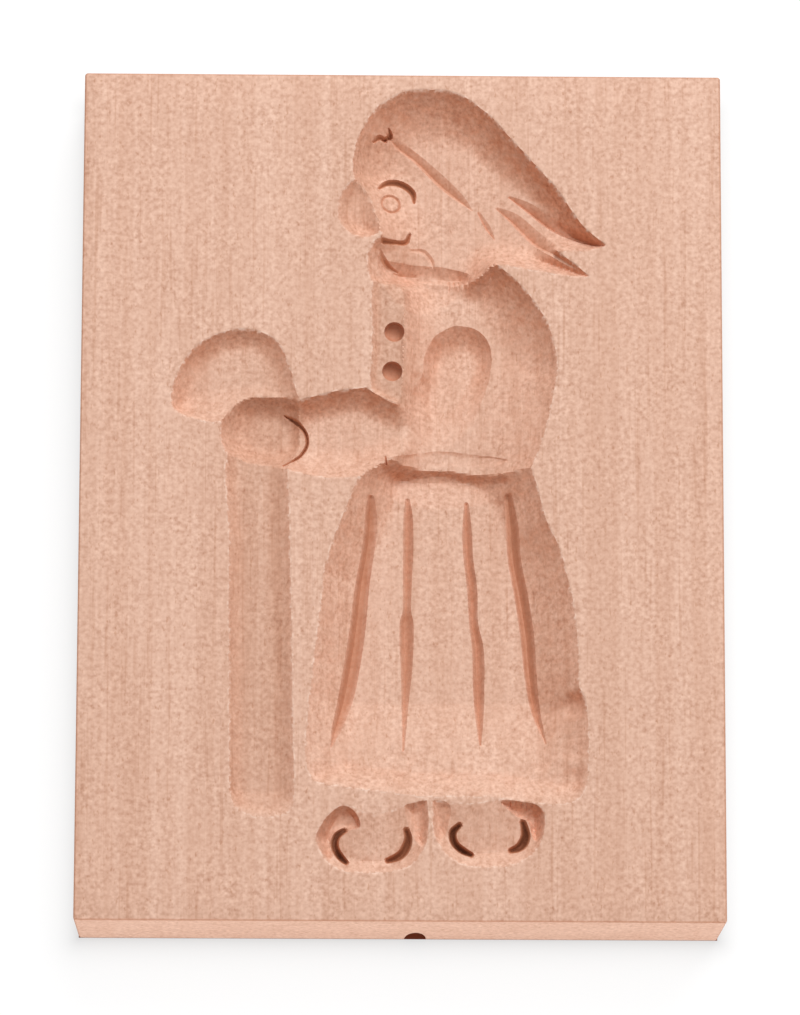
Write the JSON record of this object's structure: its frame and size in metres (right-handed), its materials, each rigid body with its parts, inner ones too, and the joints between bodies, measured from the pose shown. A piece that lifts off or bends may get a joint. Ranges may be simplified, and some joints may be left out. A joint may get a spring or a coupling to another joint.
{
  "type": "springerle mould",
  "caption": "Rectangular hardwood biscuit mould with an old countrywoman and a hooked stick carved hollow into its face; dough pressed into it takes the figure in relief.",
  "frame": {"origin": "centre of the flat back face, on which the block lies", "axes": "+X to the back of the figure (right in the picture), +Y along the grain to the figure's head, +Z out of the carved face"},
  "size_m": [0.1, 0.134, 0.022],
  "materials": {
    "wood": "bare, close-grained, smoothly planed pale pinkish hardwood with tool-cut hollows"
  },
  "bodies": {
    "root": {"mould_block": "wood"}
  },
  "joints": []
}
